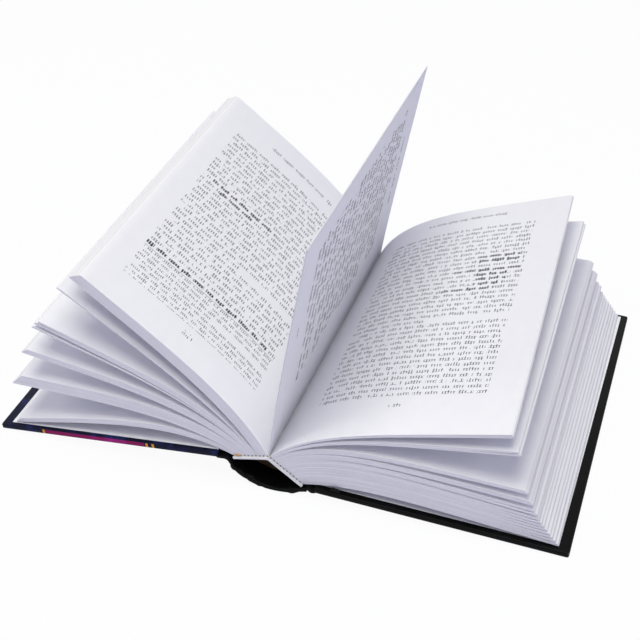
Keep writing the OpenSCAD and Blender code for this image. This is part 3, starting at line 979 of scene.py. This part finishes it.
def endpaper_fold(name, hinge, axes, block_end):
    """The endpaper's fold, which sags across a joint from the first leaf to the pasted half."""
    start = block_end + Vector((0, fold_lift))
    face = board_t + 2 * wrap_t + endpaper_t + fold_clear
    stop = hinge + (joint_w + fold_lap) * axes[0] + face * axes[1]
    sag = (start + stop) / 2 - fold_sag * axes[1]
    line = []
    for k in range(fold_cuts + 1):
        t = k / fold_cuts
        line.append((1 - t) ** 2 * start + 2 * t * (1 - t) * sag + t * t * stop)
    half = page_h / 2 - fold_inset
    section = [*line, *[p + fold_t * axes[1] for p in reversed(line)]]
    rows = [[(p.x, mix(-half, half, k / fold_rows), p.y) for p in section] for k in range(fold_rows + 1)]
    mesh = sheet_mesh(name, rows, endpaper_material, closed=True)
    smooth(mesh, 40)
    bending_piece(name, mesh)


endpaper_fold("front_endpaper_fold", front_hinge, front_axes, front_end)
endpaper_fold("back_endpaper_fold", back_hinge, back_axes, back_end)

# Table and light
# A plain white table under a large soft light from above and a pale room all round.
table_glow, room_light = 0.95, 0.41
table_half, light_aim = 3, Vector((0, 0, 0.05))
floor_mesh = bpy.data.meshes.new("table")
floor_corners = [(x * table_half, y * table_half, 0) for x, y in ((-1, -1), (1, -1), (1, 1), (-1, 1))]
floor_mesh.from_pydata(floor_corners, [], [(0, 1, 2, 3)])
floor = shown("table", floor_mesh)


def seen_directly(tree):
    """One for what the camera sees, also by a glossy or transmitted ray, and nothing for other rays."""
    rays = add(tree, "ShaderNodeLightPath")
    seen = rays.outputs["Is Camera Ray"]
    for ray in ("Is Glossy Ray", "Is Transmission Ray"):
        seen = add(tree, "MAXIMUM", [seen, rays.outputs[ray]])
    return seen


def white_table():
    """A white table top that stays white to the camera and keeps a light shadow of the book."""
    material, tree = new_material("white_table")
    share = add(tree, "MULTIPLY", [seen_directly(tree), table_glow])
    matt = add(tree, "ShaderNodeBsdfDiffuse", {"Color": linear("#e6e6fa")})
    white = add(tree, "ShaderNodeEmission", {"Color": (1, 1, 1, 1), "Strength": 1})
    add(tree, "ShaderNodeOutputMaterial", [add(tree, "ShaderNodeMixShader", [share, matt, white])])
    return material


floor_mesh.materials.append(white_table())
world = bpy.data.worlds.new("pale_room")
bpy.context.scene.world = world
world.use_nodes = True
world.node_tree.nodes.clear()
room = world.node_tree
seen = seen_directly(room)
level = add(room, "ShaderNodeMapRange", {"Value": seen, "To Min": room_light, "To Max": 1})
tint = add(room, "ShaderNodeMix", {0: seen, 6: linear("#e2e3ff"), 7: (1, 1, 1, 1)}, data_type="RGBA")
sky = add(room, "ShaderNodeBackground", {"Color": tint.outputs[2], "Strength": level})
add(room, "ShaderNodeOutputWorld", [sky])


def soft_light(name, place, size, watts):
    """A square soft box, slightly warm, aimed at the book's middle."""
    lamp = bpy.data.lights.new(name, "AREA")
    lamp.shape, lamp.size, lamp.energy = "SQUARE", size, watts
    lamp.color = linear("#fffeee")[:3]
    obj = shown(name, lamp)
    obj.location = place
    obj.rotation_mode = "QUATERNION"
    obj.rotation_quaternion = (light_aim - Vector(place)).to_track_quat("-Z", "Y")


soft_light("overhead_softbox", (-0.05, -0.2, 1.5), 1.1, 15.7)
soft_light("right_softbox", (1.4, -0.4, 0.7), 0.9, 2.4)
soft_light("left_softbox", (-1.4, -0.4, 0.8), 0.9, 4.6)

# Camera
# It stands to the right of the tail and looks down on the open leaves.
camera_turn, camera_height, camera_roll = math.radians(19.82), math.radians(36.408), math.radians(-1.383)
camera_distance, camera_lens, camera_sensor = 813, 70.29, 36
camera_target = Vector((-5.91, 0, 41.7))
camera_data = bpy.data.cameras.new("camera")
camera_data.lens, camera_data.sensor_width = camera_lens, camera_sensor
camera = shown("camera", camera_data)
back_way = Vector((math.sin(camera_turn) * math.cos(camera_height),
                   -math.cos(camera_turn) * math.cos(camera_height), math.sin(camera_height)))
camera.location = (camera_target + camera_distance * back_way) * MM
camera.rotation_mode = "QUATERNION"
level_view = (-back_way).to_track_quat("-Z", "Y").to_matrix()
camera.rotation_quaternion = (level_view @ Matrix.Rotation(camera_roll, 3, "Z")).to_quaternion()
bpy.context.scene.camera = camera
bpy.context.scene.view_settings.view_transform = "Standard"
